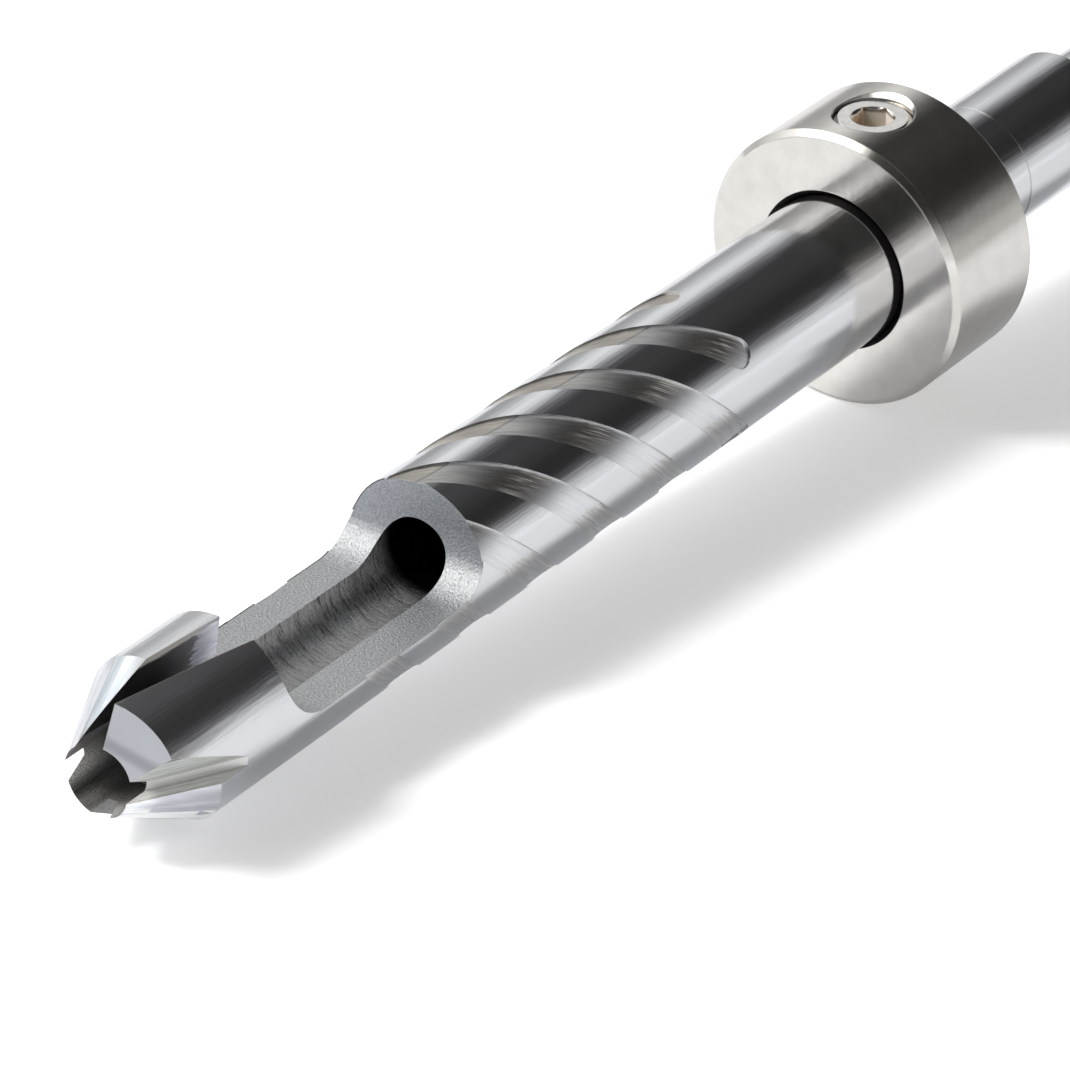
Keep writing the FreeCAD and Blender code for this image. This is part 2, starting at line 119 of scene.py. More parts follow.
class Graph:
    """A node tree with short calls for the nodes that the materials need."""

    def __init__(self, tree):
        self.tree = tree
        tree.nodes.clear()

    def node(self, kind, inputs=None, **settings):
        made = self.tree.nodes.new(kind)
        for name, value in settings.items():
            setattr(made, name, value)
        for name, value in (inputs or {}).items():
            self.feed(made.inputs[name], value)
        return made

    def feed(self, socket, value):
        if isinstance(value, bpy.types.NodeSocket):
            self.tree.links.new(value, socket)
        else:
            socket.default_value = value

    def math(self, operation, *values):
        return self.node("ShaderNodeMath", dict(enumerate(values)), operation=operation).outputs[0]

    def fold(self, operation, first, *others):
        """One value from many, two at a time."""
        for other in others:
            first = self.math(operation, first, other)
        return first

    def add(self, *values):
        return self.fold("ADD", *values)

    def sub(self, a, b):
        return self.math("SUBTRACT", a, b)

    def mul(self, *values):
        return self.fold("MULTIPLY", *values)

    def size(self, value):
        return self.math("ABSOLUTE", value)

    def above(self, value, limit):
        return self.math("GREATER_THAN", value, limit)

    def below(self, value, limit):
        return self.math("LESS_THAN", value, limit)

    def inside(self, value, low, high):
        """1 between low and high, with hard limits."""
        return self.mul(self.above(value, low), self.below(value, high))

    def either(self, *values):
        """The largest value: 1 where any of the masks is 1."""
        return self.fold("MAXIMUM", *values)

    def without(self, mask):
        return self.sub(1.0, mask)

    def step(self, value, low, high, kind="SMOOTHSTEP"):
        """Rises from 0 at low to 1 at high; falls where low is the larger."""
        flip = low > high
        return self.node("ShaderNodeMapRange", {
            "Value": value, "From Min": min(low, high), "From Max": max(low, high),
            "To Min": 1.0 if flip else 0.0, "To Max": 0.0 if flip else 1.0},
            interpolation_type=kind, clamp=True).outputs["Result"]

    def band(self, value, low, high, blur):
        """1 between low and high, with soft limits."""
        return self.mul(
            self.step(value, low - blur, low + blur), self.step(value, high + blur, high - blur))

    def mixed(self, kind, share, a, b, blend_type="MIX"):
        first, second, out = MIX_SOCKETS[kind]
        made = self.node("ShaderNodeMix", data_type=kind, blend_type=blend_type)
        for place, value in ((0, share), (first, a), (second, b)):
            self.feed(made.inputs[place], value)
        return made.outputs[out]

    def mix(self, share, a, b):
        """A colour between a and b."""
        return self.mixed("RGBA", share, as_colour(a), as_colour(b))

    def times(self, a, b):
        """Two colours multiplied."""
        return self.mixed("RGBA", 1.0, as_colour(a), as_colour(b), "MULTIPLY")

    def blend(self, share, a, b):
        """A number between a and b."""
        return self.mixed("FLOAT", share, a, b)

    def pick(self, share, a, b):
        """A direction: a where the share is 0, b where it is 1."""
        return self.mixed("VECTOR", share, a, b)

    def vector(self, x, y, z):
        return self.node("ShaderNodeCombineXYZ", {"X": x, "Y": y, "Z": z}).outputs[0]

    def split(self, vector):
        return self.node("ShaderNodeSeparateXYZ", {"Vector": vector}).outputs

    def vector_math(self, operation, *vectors):
        made = self.node("ShaderNodeVectorMath", dict(enumerate(vectors)), operation=operation)
        return made.outputs["Value" if operation == "DOT_PRODUCT" else "Vector"]

    def unit(self, direction):
        return self.vector_math("NORMALIZE", direction)

    def noise(self, place, scale, detail=2.0, rough=0.5, distortion=0.0):
        return self.node("ShaderNodeTexNoise", {
            "Vector": place, "Scale": scale, "Detail": detail, "Roughness": rough,
            "Distortion": distortion}).outputs["Fac"]

    def ramp(self, value, stops):
        made = self.node("ShaderNodeValToRGB", {"Fac": value})
        elements = made.color_ramp.elements
        while len(elements) > 1:
            elements.remove(elements[-1])
        for here, (place, colour) in enumerate(stops):
            element = elements[0] if here == 0 else elements.new(place)
            element.position = place
            element.color = as_colour(colour if isinstance(colour, tuple) else (colour,) * 3)
        return made.outputs["Color"]

    def bump(self, height, normal, distance):
        return self.node("ShaderNodeBump", {
            "Height": height, "Normal": normal, "Distance": distance, "Strength": 1.0}).outputs[0]

    def light(self, kind, colour, strength):
        return self.node(kind, {"Color": colour, "Strength": strength}).outputs[0]

    def lights(self, first, second):
        return self.node("ShaderNodeAddShader", {0: first, 1: second}).outputs[0]

    def seen_or_not(self, unseen, seen):
        """The second shader for rays that see the background itself, the first for all others."""
        ray = self.node("ShaderNodeLightPath").outputs
        straight = self.either(ray["Is Camera Ray"], ray["Is Transmission Ray"])
        return self.node("ShaderNodeMixShader", {0: straight, 1: unseen, 2: seen}).outputs[0]


def as_colour(colour):
    return colour if isinstance(colour, bpy.types.NodeSocket) else (*colour, 1.0)


def make_world():
    """White to the camera. Polished steel also shows the dark cards above a white table."""
    world = bpy.data.worlds.new("studio")
    bpy.context.scene.world = world
    world.use_nodes = True
    g = Graph(world.node_tree)
    way = g.node("ShaderNodeTexCoord").outputs["Generated"]
    _, way_y, way_z = g.split(way)
    rise = g.math("MULTIPLY_ADD", way_z, 0.5, 0.5)
    near = g.ramp(rise, NEAR_SIDE_LIGHT)
    far = g.ramp(rise, FAR_SIDE_LIGHT)
    cards = g.mix(g.step(way_y, *FAR_SIDE_Y), near, far)
    strength = g.add(1.0, g.mul(g.step(way_y, *BACK_PANEL_Y), BACK_PANEL_STRENGTH))
    toward_key = g.vector_math("DOT_PRODUCT", way, KEY_WAY)
    softbox = g.mul(g.step(toward_key, *SOFTBOX_EDGE), SOFTBOX_STRENGTH)
    around = g.lights(
        g.light("ShaderNodeBackground", cards, strength),
        g.light("ShaderNodeBackground", SOFTBOX_COLOUR, softbox))
    plain = g.light("ShaderNodeBackground", WHITE, 1.0)
    g.node("ShaderNodeOutputWorld", {"Surface": g.seen_or_not(around, plain)})


def make_floor():
    """A pale floor that keeps the tool's shadow, and glows a little to rays from the tool: painted
    bounce light.
    """
    mesh = bpy.data.meshes.new("floor")
    corners = [(-1, -1), (1, -1), (1, 1), (-1, 1)]
    mesh.from_pydata(
        [(x * FLOOR_HALF, y * FLOOR_HALF, -FLOOR_DROP) for x, y in corners], [], [(0, 1, 2, 3)])
    floor = bpy.data.objects.new("floor", mesh)
    bpy.context.scene.collection.objects.link(floor)
    material, g = new_material("floor_white")
    x, y, _ = g.split(g.node("ShaderNodeTexCoord").outputs["Object"])
    # Painted glow for rays from the tool: a little everywhere, more in front of the tool, and a
    # painted pool of light beside its head
    painted_glow_ahead = g.mul(g.step(y, *IN_FRONT_Y), PAINTED_GLOW_AHEAD_LEVEL)
    painted_glow_by_head = g.mul(g.band(x, *BY_HEAD_SPAN_X), g.band(y, *BY_HEAD_SPAN_Y), PAINTED_GLOW_BY_HEAD_LEVEL)
    level = g.add(PAINTED_GLOW_LEVEL, painted_glow_ahead, painted_glow_by_head)
    lit = g.lights(
        g.node("ShaderNodeBsdfDiffuse", {"Color": FLOOR_COLOUR}).outputs[0],
        g.light("ShaderNodeEmission", PAINTED_GLOW_COLOUR, level))
    shown = g.lights(
        g.node("ShaderNodeBsdfDiffuse", {"Color": SEEN_FLOOR_COLOUR}).outputs[0],
        g.light("ShaderNodeEmission", WHITE, SEEN_FLOOR_GLOW))
    g.node("ShaderNodeOutputMaterial", {"Surface": g.seen_or_not(lit, shown)})
    mesh.materials.append(material)


def make_key_lamp():
    """The soft lamp beyond the head. Metal doesn't mirror it, but the softbox in the world."""
    data = bpy.data.lights.new("key", "AREA")
    data.shape = "RECTANGLE"
    data.size, data.size_y = KEY_SIZE
    data.energy = KEY_WATTS
    lamp = bpy.data.objects.new("key", data)
    bpy.context.scene.collection.objects.link(lamp)
    aim = (Vector(KEY_TARGET) - Vector(KEY_PLACE)).to_track_quat("-Z", "Y")
    lamp.matrix_world = Matrix.Translation(KEY_PLACE) @ aim.to_matrix().to_4x4()
    lamp.visible_glossy = False


def row_to_tool(g, vector):
    """The parts of a vector along the tool's own axes."""
    x, y, z = g.split(vector)
    tool_x = g.add(g.mul(x, REST_COSINE), g.mul(z, REST_SINE))
    tool_z = g.sub(g.mul(z, REST_COSINE), g.mul(x, REST_SINE))
    return tool_x, y, tool_z


def tool_to_row(g, x, y, z):
    """A direction given along the tool's own axes, turned to the row's frame, one long."""
    row_x = g.sub(g.mul(x, REST_COSINE), g.mul(z, REST_SINE))
    row_z = g.add(g.mul(x, REST_SINE), g.mul(z, REST_COSINE))
    return g.unit(g.vector(row_x, y, row_z))


class Surface:
    """What the materials know about a point: its place, its normal and the kind of face."""

    def __init__(self, g):
        self.g = g
        place = g.node("ShaderNodeTexCoord").outputs["Object"]
        in_mm = g.vector_math("MULTIPLY", place, (MM_PER_METRE,) * 3)
        moved = g.vector_math("SUBTRACT", in_mm, REST_SHIFT)
        self.x, self.y, self.z = row_to_tool(g, moved)
        self.place = g.vector(self.x, self.y, self.z)
        self.radius = g.math("SQRT", g.add(g.mul(self.y, self.y), g.mul(self.z, self.z)))
        self.angle = g.math("ARCTAN2", self.z, self.y)
        self.out_y = g.math("DIVIDE", self.y, self.radius)
        self.out_z = g.math("DIVIDE", self.z, self.radius)

        geometry = g.node("ShaderNodeNewGeometry").outputs
        self.own = geometry["Normal"]
        self.flat = geometry["True Normal"]
        self.nx, self.ny, self.nz = row_to_tool(g, self.flat)
        self.away = g.add(g.mul(self.ny, self.out_y), g.mul(self.nz, self.out_z))
        level = g.below(g.size(self.nx), ROUND_LEVEL)
        self.outward = g.mul(g.above(self.away, ROUND_OUTSIDE), level)
        self.inward = g.mul(g.below(self.away, ROUND_INSIDE), level)

    def leaning(self, along_axis, outward, around):
        """A direction given by its parts along the axis, away from it and around it."""
        g = self.g
        y = g.sub(g.mul(self.out_y, outward), g.mul(self.out_z, around))
        z = g.add(g.mul(self.out_z, outward), g.mul(self.out_y, around))
        return tool_to_row(g, along_axis, y, z)

    def smooth_normal(self, inner_lean=0.0, outer_lean=0.0):
        """The true normal of the round faces, and the mesh's own normal on all others."""
        g = self.g
        outer = self.leaning(0.0, 1.0, outer_lean)
        inner = self.leaning(0.0, -1.0, inner_lean)
        return g.pick(self.inward, g.pick(self.outward, self.own, outer), inner)

    def edges(self, radius):
        """Where the sharp edges are, and the normal that rounds them a little."""
        g = self.g
        rounded = g.node("ShaderNodeBevel", {"Radius": radius}, samples=EDGE_SAMPLES).outputs[0]
        same = g.vector_math("DOT_PRODUCT", rounded, self.flat)
        return g.step(same, *EDGE_TURN), rounded


def new_material(name):
    material = bpy.data.materials.new(name)
    material.use_nodes = True
    return material, Graph(material.node_tree)


def finish_material(g, inputs):
    shader = g.node("ShaderNodeBsdfPrincipled", inputs)
    g.node("ShaderNodeOutputMaterial", {"Surface": shader.outputs[0]})


# Cutter: sizes and places in millimetres
BARREL_RADIUS = 8.0
JUST_BELOW_HEAD_SKIN = 8.036
WINDOW_START = 16.8
WINDOW_LENGTH = 27.9
WINDOW_LOWEST = -0.9
WINDOW_RIM_RADIUS = 7.86
BORE_RADIUS = 4.0
BORE_END_X = (50.0, 70.0)
TROUGH_END_X = 50.0
# Where the painted shadow inside the bore begins and is full
PAINTED_SHADOW_INSIDE_X = (43.2, 45.6)
RAKER_REACH = 6.0
GULLET_LOWEST = 2.0
NOTCH_SLOPE = 0.567
NOTCH_START = -1.209
NOTCH_TOP = 3.4

# Cutter: its cut faces, by the parts of their normals
STRAIGHT_NY = 0.03
WINDOW_LEAN = 0.5
RAKER_NX = (-0.985, -0.9)
GULLET_NY = -0.95
BEVEL_NX = (-0.56, -0.42)
NOTCH_WALL_NX = (-0.505, -0.48)
NOTCH_NX = -0.40

# Grooves: the helix through their middles, with the sine and cosine of its angle to the axis
GROOVE_LEAD = 52.0
GROOVE_STARTS = 5
GROOVE_PITCH = GROOVE_LEAD / GROOVE_STARTS
GROOVE_BEGIN = 28.5
GROOVE_PHASE = math.radians(91.0)
GROOVE_SINE = 0.695
GROOVE_COSINE = 0.719
GROOVE_DEPTH = 0.25
GROOVES_X = (25.5, 89.0)
GROOVES_RADIUS = (7.5, 7.99)
GROOVE_FLOOR_LEAN = 0.9
GROOVE_LIP_LEAN = 0.6
GROOVE_LIP_ACROSS = (1.4, 1.8)
GROOVE_HOLLOW = (-0.0456, 0.0487)
GLINT_TILT = (0.08, 0.48)
GLINT_SPAN = (2.18, 2.40, 0.24)

# Cutter: colours, dark and light where there are two
SKIN = ((0.735, 0.745, 0.765), (0.775, 0.785, 0.805))
EDGE_BROWN = (0.55, 0.42, 0.31)
GROOVE_STOPS = [
    (0.30, (0.56, 0.555, 0.53)), (0.52, (0.75, 0.75, 0.74)), (0.70, (0.93, 0.92, 0.89))]
# Painted reflections, highlights and shade on the groove floors
GROOVE_PAINTED_COOL_REFLECTION = (0.80, 0.815, 0.85)
GROOVE_PAINTED_GLINT = (0.97, 0.93, 0.82)
GROOVE_PAINTED_DARK_STREAK = (0.24, 0.23, 0.20)
GROOVE_PAINTED_WARM_REFLECTION = (1.0, 0.94, 0.86)
GROOVE_PAINTED_REFLECTION_EDGE = (0.30, 0.28, 0.26)
BLASTED_STOPS = [
    (0.38, (0.66, 0.68, 0.695)), (0.5, (0.84, 0.86, 0.87)), (0.62, (0.96, 0.965, 0.97))]
# Painted shade on the window's walls that face forward
BACK_WALL_PAINTED_SHADE = (0.50, 0.515, 0.545)
# A dark line along the window's +y rim
RIM_DARK_LINE = (0.16, 0.16, 0.16)
GROUND = ((0.62, 0.635, 0.675), (0.84, 0.85, 0.88))
# Painted shade on the bevels that face down
LOW_BEVEL_PAINTED_SHADE = (0.72, 0.72, 0.73)
# Painted reflection on one facet, and a painted shadow line at its edge
FACET_PAINTED_REFLECTION = ((0.66, 0.73, 0.80), (0.97, 0.985, 0.99))
FACET_PAINTED_SHADOW_LINE = (0.16, 0.15, 0.18)
NOTCH_STOPS = [(0.36, (0.60, 0.60, 0.56)), (0.5, (0.90, 0.90, 0.87)), (0.62, (1.0, 1.0, 0.97))]
# Painted shade, painted light and a painted highlight in the notch
NOTCH_LOW_PAINTED_SHADE = (0.72, 0.74, 0.74)
NOTCH_WALL_PAINTED_LIGHT = (1.0, 1.0, 0.99)
NOTCH_ROOT_PAINTED_HIGHLIGHT = (0.98, 0.98, 0.96)
NOTCH_FLANK = (0.07, 0.07, 0.07)
RAKER = ((0.42, 0.435, 0.465), (0.49, 0.505, 0.535))
RAKER_STRIPE = (0.26, 0.26, 0.285)
GULLET = ((0.16, 0.155, 0.165), (0.34, 0.33, 0.36))
# Painted light on the gullet's top and end
GULLET_PAINTED_LIT_TOP = (0.62, 0.59, 0.55)
GULLET_PAINTED_LIT_END = ((0.60, 0.61, 0.68), (0.86, 0.86, 0.92))
TROUGH_STOPS = [
    (0.36, (0.24, 0.24, 0.235)), (0.45, (0.76, 0.765, 0.77)), (0.55, (0.97, 0.98, 0.98)),
    (0.68, (1.0, 1.0, 1.0))]
TROUGH_GRAIN_STOPS = [(0.36, 0.72), (0.6, 1.0)]
# Painted light towards the trough's near wall
TROUGH_NEAR_WALL_PAINTED_LIGHT = (1.0, 1.0, 1.0)
# Painted sheen bands round the bore's mouth
MOUTH_PAINTED_SHEEN_AROUND = [
    (0.10, 0.16), (0.222, 0.60), (0.278, 0.40), (0.306, 0.20), (0.347, 0.34), (0.389, 0.09),
    (0.417, 0.36), (0.444, 0.95), (0.478, 1.0), (0.514, 0.60), (0.556, 0.26), (1.0, 0.18)]
MOUTH_RING_STOPS = [
    (0.40, (0.38, 0.37, 0.34)), (0.5, (0.85, 0.84, 0.80)), (0.58, (1.0, 1.0, 0.98))]
# Painted shade deeper in the mouth, and a painted black shadow further in
MOUTH_PAINTED_SHADE_DEEP = (0.10, 0.10, 0.10)
BORE_PAINTED_SHADOW = (0.015, 0.015, 0.016)

# Collar and screw: colours and places
NICKEL_STOPS = [(0.3, (0.73, 0.71, 0.67)), (0.7, (0.82, 0.80, 0.755))]
# Painted shade on a band of the collar's outside
NICKEL_PAINTED_SHADE_TINT = (0.56, 0.56, 0.54)
NICKEL_PAINTED_SHADE_SPAN = (2.62, 2.86, 0.07)
# Painted shade on the chamfer in the collar's bore
COLLAR_BORE_PAINTED_SHADE = (0.03, 0.028, 0.026)
CHAMFER_NX = (0.3, 0.95)
PLATING_STOPS = [(0.3, (0.74, 0.72, 0.68)), (0.7, (0.88, 0.87, 0.84))]
SOCKET_BROWN = ((0.52, 0.40, 0.29), (0.70, 0.60, 0.48))
# Painted highlight on the socket's rear facet
SOCKET_PAINTED_LIGHT = (1.0, 0.95, 0.85)
SOCKET_Z = (14.1, 13.6)


class CutterFaces:
    """Which of the cutter's faces a point lies on, as masks of 0 and 1."""

    def __init__(self, s):
        g = s.g
        straight = g.below(g.size(s.ny), STRAIGHT_NY)

        # How far across the nearest groove, and how far along it
        turn = g.mul(g.sub(s.angle, GROOVE_PHASE), GROOVE_LEAD / (2 * math.pi))
        beside = g.add(g.sub(g.sub(s.x, GROOVE_BEGIN), turn), GROOVE_PITCH / 2)
        beside = g.sub(g.math("FLOORED_MODULO", beside, GROOVE_PITCH), GROOVE_PITCH / 2)
        groove_radius = BARREL_RADIUS - GROOVE_DEPTH
        self.across = g.mul(beside, GROOVE_SINE)
        self.along = g.add(
            g.mul(s.x, GROOVE_COSINE), g.mul(s.angle, groove_radius * GROOVE_SINE))
        grooved = g.mul(g.inside(s.x, *GROOVES_X), g.inside(s.radius, *GROOVES_RADIUS))
        self.groove = g.mul(
            grooved, g.above(s.away, GROOVE_FLOOR_LEAN), g.below(s.radius, BARREL_RADIUS - 0.1))
        self.lip = g.mul(
            grooved, g.below(g.size(s.away), GROOVE_LIP_LEAN),
            g.inside(g.size(self.across), *GROOVE_LIP_ACROSS), g.without(straight))

        # The walls of the chip window, and the bore with its blind end
        round_face = g.either(s.inward, s.outward, self.lip)
        up_or_forward = g.above(g.either(s.nz, g.mul(s.nx, -1.0)), WINDOW_LEAN)
        self.window = g.mul(
            straight, g.inside(s.x, WINDOW_START + 0.02, WINDOW_START + WINDOW_LENGTH + 0.1),
            g.below(s.radius, BARREL_RADIUS + 0.04), g.above(s.z, WINDOW_LOWEST),
            g.without(round_face), up_or_forward)
        self.bore = g.mul(
            g.either(s.inward, g.inside(s.x, *BORE_END_X)), g.below(s.radius, BORE_RADIUS + 0.1))

        # The head, in front of the window: all that is cut into it, then each kind of cut
        self.head = g.below(s.x, WINDOW_START - 0.01)
        skin = g.either(s.outward, g.above(s.radius, JUST_BELOW_HEAD_SKIN))
        self.cut = g.mul(self.head, g.without(g.either(skin, s.inward)))
        self.raker = g.mul(self.head, g.inside(s.nx, *RAKER_NX), g.below(s.x, RAKER_REACH))
        self.gullet = g.mul(self.cut, g.below(s.ny, GULLET_NY), g.above(s.z, GULLET_LOWEST))
        self.bevel = g.mul(self.cut, g.inside(s.nx, *BEVEL_NX))
        self.notch_wall = g.mul(self.cut, g.inside(s.nx, *NOTCH_WALL_NX))
        notch_floor = g.mul(self.cut, g.above(s.nx, NOTCH_NX))
        self.notch = g.mul(g.either(notch_floor, self.notch_wall), g.below(s.z, NOTCH_TOP))


# What a kind of face looks like; the skin's roughness and height stay where there is None
Finish = namedtuple("Finish", "where colour rough height", defaults=(None, None))


def groove_streaks(s, faces):
    """The bright and the dark streaks where the grooves turn towards -y: the bright ones tilt the
    normal and are also painted highlights, the dark ones are painted shade.
    """
    g = s.g
    place = g.vector(faces.across, g.mul(faces.along, 0.022), 8.0)
    streak = g.noise(place, scale=7.0, detail=3.0, rough=0.7)
    zone = g.mul(g.band(s.angle, *GLINT_SPAN), faces.groove)
    return g.mul(g.step(streak, 0.44, 0.60), zone), g.mul(g.step(streak, 0.52, 0.40), zone)


def groove_finish(s, faces, glints_tilted_and_painted, painted_dark_streaks):
    """Milled, with fine lines along the groove; painted glints and dark streaks, and painted
    reflections: cool past the glints, warm with a dark edge over the top.
    """
    g = s.g
    fine_place = g.vector(faces.across, g.mul(faces.along, 0.022), 0.0)
    fine_lines = g.noise(fine_place, scale=6.0, detail=4.0, rough=0.78)
    place = g.vector(faces.across, g.mul(faces.along, 0.05), 3.0)
    lines = g.noise(place, scale=4.2, detail=4.0, rough=0.72)
    # Painted reflection: the groove floor turns cooler past the glints
    painted_cool_reflection = g.mul(g.step(s.angle, 2.36, 2.62), 0.65)
    colour = g.mix(painted_cool_reflection, g.ramp(lines, GROOVE_STOPS), GROOVE_PAINTED_COOL_REFLECTION)
    # Painted highlight: the glint streaks turn yellow-white, on top of their tilted normals
    colour = g.mix(glints_tilted_and_painted, colour, GROOVE_PAINTED_GLINT)
    # Painted shade: the dark streaks between the glints
    colour = g.mix(g.mul(painted_dark_streaks, 0.45), colour, GROOVE_PAINTED_DARK_STREAK)
    # Painted reflection: warmer on the far side over the top, ending in a painted dark edge
    over_top = g.add(s.angle, g.mul(faces.across, -0.02))
    painted_warm_reflection = g.mul(g.step(over_top, 1.60, 1.54), g.step(s.angle, 0.2, 1.2))
    colour = g.mix(painted_warm_reflection, colour, g.times(colour, GROOVE_PAINTED_WARM_REFLECTION))
    colour = g.mix(g.band(over_top, 1.585, 1.605, 0.02), colour, GROOVE_PAINTED_REFLECTION_EDGE)
    return Finish(faces.groove, colour, g.blend(lines, 0.36, 0.24), g.mul(fine_lines, 1.2))


def window_finish(s, faces, grain):
    """Blasted, with painted shade on the walls that face forward, and a dark line along the +y
    rim.
    """
    g = s.g
    colour = g.ramp(grain, BLASTED_STOPS)
    # Painted shade: the walls that face forward are darker than the window's floor
    colour = g.mix(g.step(s.nz, 0.40, 0.72), g.times(colour, BACK_WALL_PAINTED_SHADE), colour)
    # A dark line along the rim on the +y side
    dark_rim_line = g.mul(g.above(s.radius, WINDOW_RIM_RADIUS), g.above(s.y, 0.0))
    colour = g.mix(dark_rim_line, colour, RIM_DARK_LINE)
    swell = g.noise(s.place, scale=1.1, detail=2.0, rough=0.5)
    return Finish(faces.window, colour, 0.43, g.add(g.mul(grain, 5.2), g.mul(swell, 0.8)))


def ground_finish(s, faces):
    """The ground bevels of the spurs, with painted shade where they face down, one facet painted
    blue-white as a reflection, and a painted shadow line at its edge.
    """
    g = s.g
    place = g.vector(g.mul(s.angle, 5.0), g.mul(s.radius, 0.16), 2.0)
    lines = g.step(g.noise(place, scale=1.5, detail=3.0, rough=0.6), 0.36, 0.64, "LINEAR")
    colour = g.mix(lines, *GROUND)
    # Painted shade where the bevels face down
    colour = g.mix(g.step(s.nz, -0.46, -0.64), colour, g.times(colour, LOW_BEVEL_PAINTED_SHADE))
    # Painted reflection: one facet blue-white, with grinding lines
    painted_bright_facet = g.mul(g.above(s.angle, 1.0297), g.above(s.y, -0.5))
    colour = g.mix(painted_bright_facet, colour, g.mix(lines, *FACET_PAINTED_REFLECTION))
    # Painted shadow along the step at the facet's edge
    painted_shadow_line = g.mul(faces.bevel, g.band(s.angle, 1.005, 1.03, 0.012))
    colour = g.mix(painted_shadow_line, colour, FACET_PAINTED_SHADOW_LINE)
    return Finish(faces.cut, colour, g.blend(lines, 0.24, 0.13), g.mul(lines, 0.08))


def notch_finish(s, faces):
    """Coarsely brushed along the notch, with painted shade where it faces down, its wall whitened
    as painted light, a painted highlight along its root, and dark on the far flank.
    """
    g = s.g
    across = g.add(s.y, g.mul(s.x, NOTCH_SLOPE))
    lines = g.noise(g.vector(g.mul(s.x, 0.05), across, s.z), scale=4.2, detail=4.0, rough=0.72)
    colour = g.ramp(lines, NOTCH_STOPS)
    # Painted shade where the notch faces down, and its wall whitened as painted light
    colour = g.mix(g.step(s.nz, -0.4, -0.6), colour, g.times(colour, NOTCH_LOW_PAINTED_SHADE))
    colour = g.mix(g.mul(faces.notch_wall, 0.7), colour, NOTCH_WALL_PAINTED_LIGHT)
    # Painted highlight along the notch's root
    from_root = g.sub(g.sub(NOTCH_START, g.mul(s.x, NOTCH_SLOPE)), s.y)
    painted_root_highlight = g.mul(faces.notch, g.band(from_root, -0.5, 0.55, 0.25), g.band(s.z, -1.3, 0.0, 0.3))
    colour = g.mix(painted_root_highlight, colour, NOTCH_ROOT_PAINTED_HIGHLIGHT)
    flank = g.mul(g.below(s.ny, -0.9), g.below(s.z, -2.5))
    colour = g.mix(g.mul(flank, 0.72), colour, NOTCH_FLANK)
    return Finish(faces.notch, colour, 0.38, g.mul(lines, 1.1))


def raker_finish(s, faces, cloud):
    """Ground, with a darker stripe across the face."""
    g = s.g
    stripe = g.mul(g.band(g.sub(s.z, g.mul(s.y, 0.333)), 3.8, 5.0, 0.5), 0.7)
    return Finish(faces.raker, g.mix(stripe, g.mix(cloud, *RAKER), RAKER_STRIPE))


def gullet_marks(s):
    """Lines along the gullet's wall, and the frayed limits of its end and its top, which are
    painted lit and whose normals turn.
    """
    g = s.g
    place = g.vector(g.mul(s.x, 0.05), s.y, s.z)
    lines = g.step(g.noise(place, scale=4.5, detail=4.0, rough=0.7), 0.36, 0.64, "LINEAR")
    end = g.add(s.x, g.mul(g.sub(s.z, 6.0), -0.25), g.mul(lines, 1.6))
    top = g.sub(g.sub(s.z, g.mul(lines, 0.35)), g.mul(s.x, 0.03))
    return lines, g.step(end, 14.4, 15.2), g.step(top, 6.75, 7.15)


def gullet_finish(s, faces, lines, end, top):
    """A dark wall with a painted lit top, and brushed and painted bright at its end."""
    g = s.g
    colour = g.mix(g.step(s.x, 9.0, 14.0), *GULLET)
    # Painted light on the top and the end, whose normals also turn in cutter_normal
    colour = g.mix(top, colour, GULLET_PAINTED_LIT_TOP)
    colour = g.mix(end, colour, g.mix(lines, *GULLET_PAINTED_LIT_END))
    return Finish(faces.gullet, colour, 0.36)


def bore_finish(s, faces, grain):
    """Drilled: pale rings in the trough of the window, painted lighter by its near wall; painted
    sheen and shade in the mouth; a painted shadow further in.
    """
    g = s.g
    wavy = g.add(s.x, g.mul(g.noise(s.place, scale=0.5), 0.9))
    place = g.vector(wavy, g.mul(s.angle, 0.5), 0.0)
    rings = g.noise(place, scale=2.6, detail=5.0, rough=0.78, distortion=0.2)
    fine_place = g.vector(wavy, g.mul(s.angle, 2.4), 4.0)
    fine_rings = g.noise(fine_place, scale=7.0, detail=4.0, rough=0.75)
    near_wall = g.step(s.angle, -0.9, -1.3)
    trough = g.times(g.ramp(rings, TROUGH_STOPS), g.ramp(grain, TROUGH_GRAIN_STOPS))
    # Painted light: the trough is whitened towards its near wall
    trough = g.mix(g.mul(near_wall, 0.35), trough, TROUGH_NEAR_WALL_PAINTED_LIGHT)
    share_round = g.add(g.mul(s.angle, 0.5 / math.pi), 0.5)
    # Painted sheen: light and dark bands round the mouth
    mouth = g.times(g.ramp(share_round, MOUTH_PAINTED_SHEEN_AROUND), g.ramp(fine_rings, MOUTH_RING_STOPS))
    # Painted shade: the mouth darkens further in
    mouth = g.mix(g.step(s.x, 2.0, 7.5), mouth, MOUTH_PAINTED_SHADE_DEEP)
    colour = g.mix(faces.head, trough, mouth)
    # Painted shadow: black further inside the bore
    colour = g.mix(g.step(s.x, *PAINTED_SHADOW_INSIDE_X), colour, BORE_PAINTED_SHADOW)
    height = g.add(g.mul(rings, 5.0), g.mul(fine_rings, 2.4))
    return Finish(faces.bore, colour, g.blend(near_wall, 0.36, 0.46), height)


